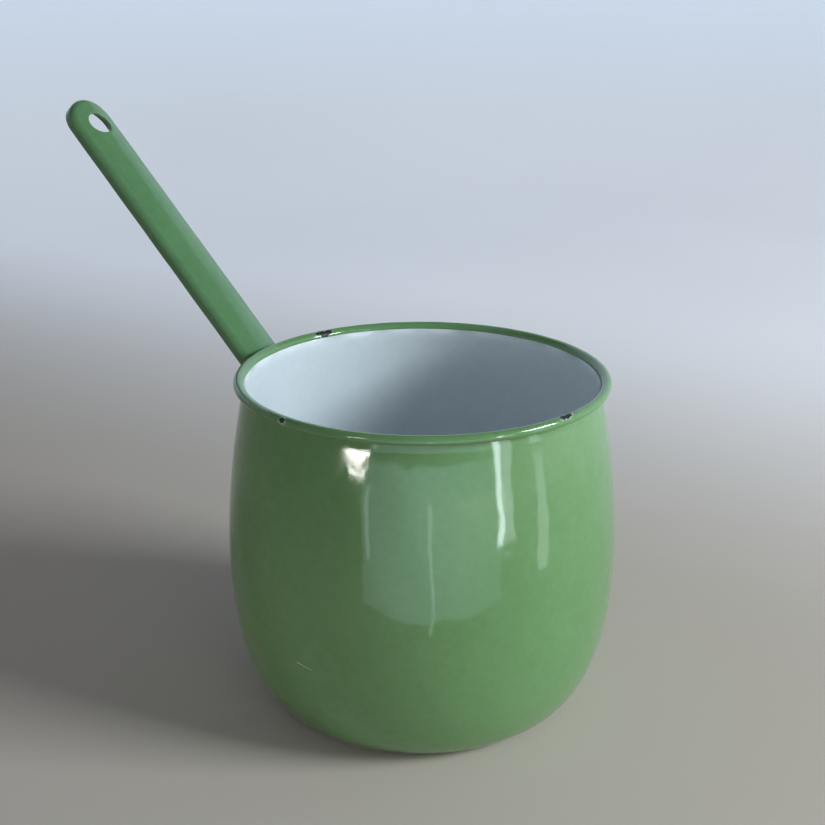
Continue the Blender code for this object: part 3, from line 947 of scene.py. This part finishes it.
# %% Steel under the glass, and the welds
GRAIN_HEIGHT = 0.00003
welds = [item for name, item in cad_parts.items() if name.startswith("weld")]
for name, dark, light, dullness, owners in (
    ("ground_coated_steel", (0.018, 0.019, 0.022), (0.060, 0.058, 0.060), 0.45, [steel]),
    ("weld_metal", (0.06, 0.055, 0.05), (0.26, 0.24, 0.23), 0.38, welds),
):
    metal, tree, shader, position = start_material(name, Metallic=0.9)
    grain = noise(tree, position, 700, 5)
    join(
        tree,
        (mix_colour(tree, step_map(tree, grain, 0.3, 0.7), dark, light), shader.inputs["Base Color"]),
        (step_map(tree, grain, 0.2, 0.8, dullness, dullness + 0.2), shader.inputs["Roughness"]),
    )
    emboss(tree, shader, grain, GRAIN_HEIGHT)
    for owner in owners:
        owner.data.materials.clear()
        owner.data.materials.append(metal)
    print(f"{name} on {len(owners)} pieces")

# %% [markdown]
# ## The stage
#
# The pan stands on a plain pale table that curves up into a wall all round, so there is no horizon from any side.
# It is a profile carried round the axis, like the pot. The wall glows softly behind the pan, as a wall does by a
# window, which is simpler than lighting it with lamps of its own. The table has no gloss, so that the strips of
# light meant for the enamel don't show in it.

# %% Floor and wall in one
FLOOR_RADIUS, WALL_RADIUS, WALL_HEIGHT = 900, 1700, 1500
WALL_GLOW = 0.48
COVE_HEIGHT, FLOOR_GAP = 700.0, 0.05
cove = bow(np.array([FLOOR_RADIUS, 0.0]), np.array([WALL_RADIUS, 0.0]), np.array([WALL_RADIUS, COVE_HEIGHT]), 40)
stage_outline = np.vstack([[0.0, 0.0], cove, [WALL_RADIUS, WALL_HEIGHT]]) - [0, FLOOR_GAP]
stage_angles = np.linspace(-math.pi, math.pi, 128, endpoint=False)
stage = grid_piece("table_and_wall", lathe(stage_outline, stage_angles))
pale, tree, shader, position = start_material("pale_table", Roughness=1.0, Specular_IOR_Level=0.0)
clouded = step_map(tree, noise(tree, position, 2.2, 2), 0.3, 0.7)
split = add_node(tree, "ShaderNodeSeparateXYZ")
join(tree, (position, split.inputs["Vector"]))
upright = step_map(tree, split.outputs["Z"], 0.01, 0.30)
sunward = step_map(tree, split.outputs["Y"], -0.6, 1.0, 0.08, 1.0)
behind = step_map(tree, split.outputs["Y"], 0.06, 0.55, 0, 0.90)
floor_tint = mix_colour(tree, clouded, (0.58, 0.50, 0.43), (0.62, 0.54, 0.47))
glowing = calculate(tree, "MAXIMUM", behind, calculate(tree, "MULTIPLY", upright, sunward))
lit_wall = mix_colour(tree, glowing, (0.0, 0.0, 0.0), (0.66, 0.80, 1.0))
join(
    tree,
    (mix_colour(tree, upright, floor_tint, (0.66, 0.67, 0.70)), shader.inputs["Base Color"]),
    (lit_wall, shader.inputs["Emission Color"]),
)
shader.inputs["Emission Strength"].default_value = WALL_GLOW
stage.data.materials.append(pale)

# %% [markdown]
# ## The light
#
# Gloss is only as good as what it reflects. A large soft window stands high on the right: it shapes the pot,
# leaves the left side deep green, and lights the far wall of the lining with a soft slanting edge of shade.
# Narrow standing strips draw the upright streaks in the glass, two small panes the bright spot on the left, and one
# faint broad sheet the soft patch in the middle. They light nothing but reflections, so the shading stays that of
# one window. A picture of a room all round could do this too, but strips can be moved one at a time.


# %% Lights
def area_light(
    name, azimuth, distance, height, width, tall, power, colour, aim=0.06, streak=False, gloss=True, flat=False
):
    """A rectangle that faces the pan from a place counted round and out from it, in metres and watts.

    A streak shows in reflections only. Without gloss a light shows in none. A flat one lies and shines up.
    """
    lamp = bpy.data.lights.new(name, "AREA")
    lamp.shape, lamp.size, lamp.size_y = "RECTANGLE", width, tall
    lamp.energy, lamp.color = power, colour
    item = bpy.data.objects.new(name, lamp)
    east, north = on_floor(math.radians(azimuth), distance)
    item.location = (east, north, height)
    away = math.hypot(east, north)
    item.rotation_euler = (math.pi if flat else math.atan2(away, height - aim), 0, math.radians(azimuth + 90))
    item.visible_camera = False
    item.visible_diffuse = not streak
    item.visible_glossy = gloss
    bpy.context.scene.collection.objects.link(item)
    return item


SHEET_SPREAD = math.radians(110)
AMBIENT, AMBIENT_COLOUR = 0.05, (0.95, 0.97, 1.0, 1)
COOL, WARM, WOOD, SKY = (0.84, 0.95, 1.0), (1.0, 0.97, 0.90), (1.0, 0.60, 0.26), (0.62, 0.92, 1.0)
# name, azimuth in degrees, distance, height, width, tallness, watts, colour
area_light("window_right", 10, 1.25, 0.66, 0.50, 0.42, 17, COOL)
area_light("front_card", -34, 1.1, 0.24, 0.60, 0.30, 1.6, WARM, gloss=False)
area_light("table_glow", -135, 0.20, 0.002, 0.30, 0.22, 0.06, WOOD, gloss=False, flat=True)
area_light("streak_right", -21.3, 0.40, 0.10, 0.026, 0.20, 0.15, COOL, aim=0.10, streak=True)
area_light("streak_right_soft", -17.5, 0.41, 0.09, 0.065, 0.18, 0.12, COOL, aim=0.09, streak=True)
area_light("streak_far_right", 1, 0.26, 0.050, 0.030, 0.10, 0.020, COOL, aim=0.050, streak=True)
area_light("pane_left", -97.3, 0.42, 0.120, 0.080, 0.010, 0.22, WARM, aim=0.120, streak=True)
area_light("pane_left_low", -96.3, 0.42, 0.098, 0.070, 0.008, 0.05, WARM, aim=0.098, streak=True)
area_light("streak_left", -87.5, 0.26, 0.060, 0.010, 0.066, 0.0035, COOL, aim=0.06, streak=True)
area_light("streak_middle", -57.8, 0.165, 0.045, 0.004, 0.088, 0.0020, COOL, aim=0.045, streak=True)
glow = area_light("room_glow", -57, 0.19, 0.055, 0.25, 0.11, 0.055, SKY, aim=0.055, streak=True)
glow.data.spread = SHEET_SPREAD

world = bpy.data.worlds.new("studio")
bpy.context.scene.world = world
world.use_nodes = True
world.node_tree.nodes["Background"].inputs["Color"].default_value = AMBIENT_COLOUR
world.node_tree.nodes["Background"].inputs["Strength"].default_value = AMBIENT
bpy.context.scene.view_settings.view_transform = "Standard"
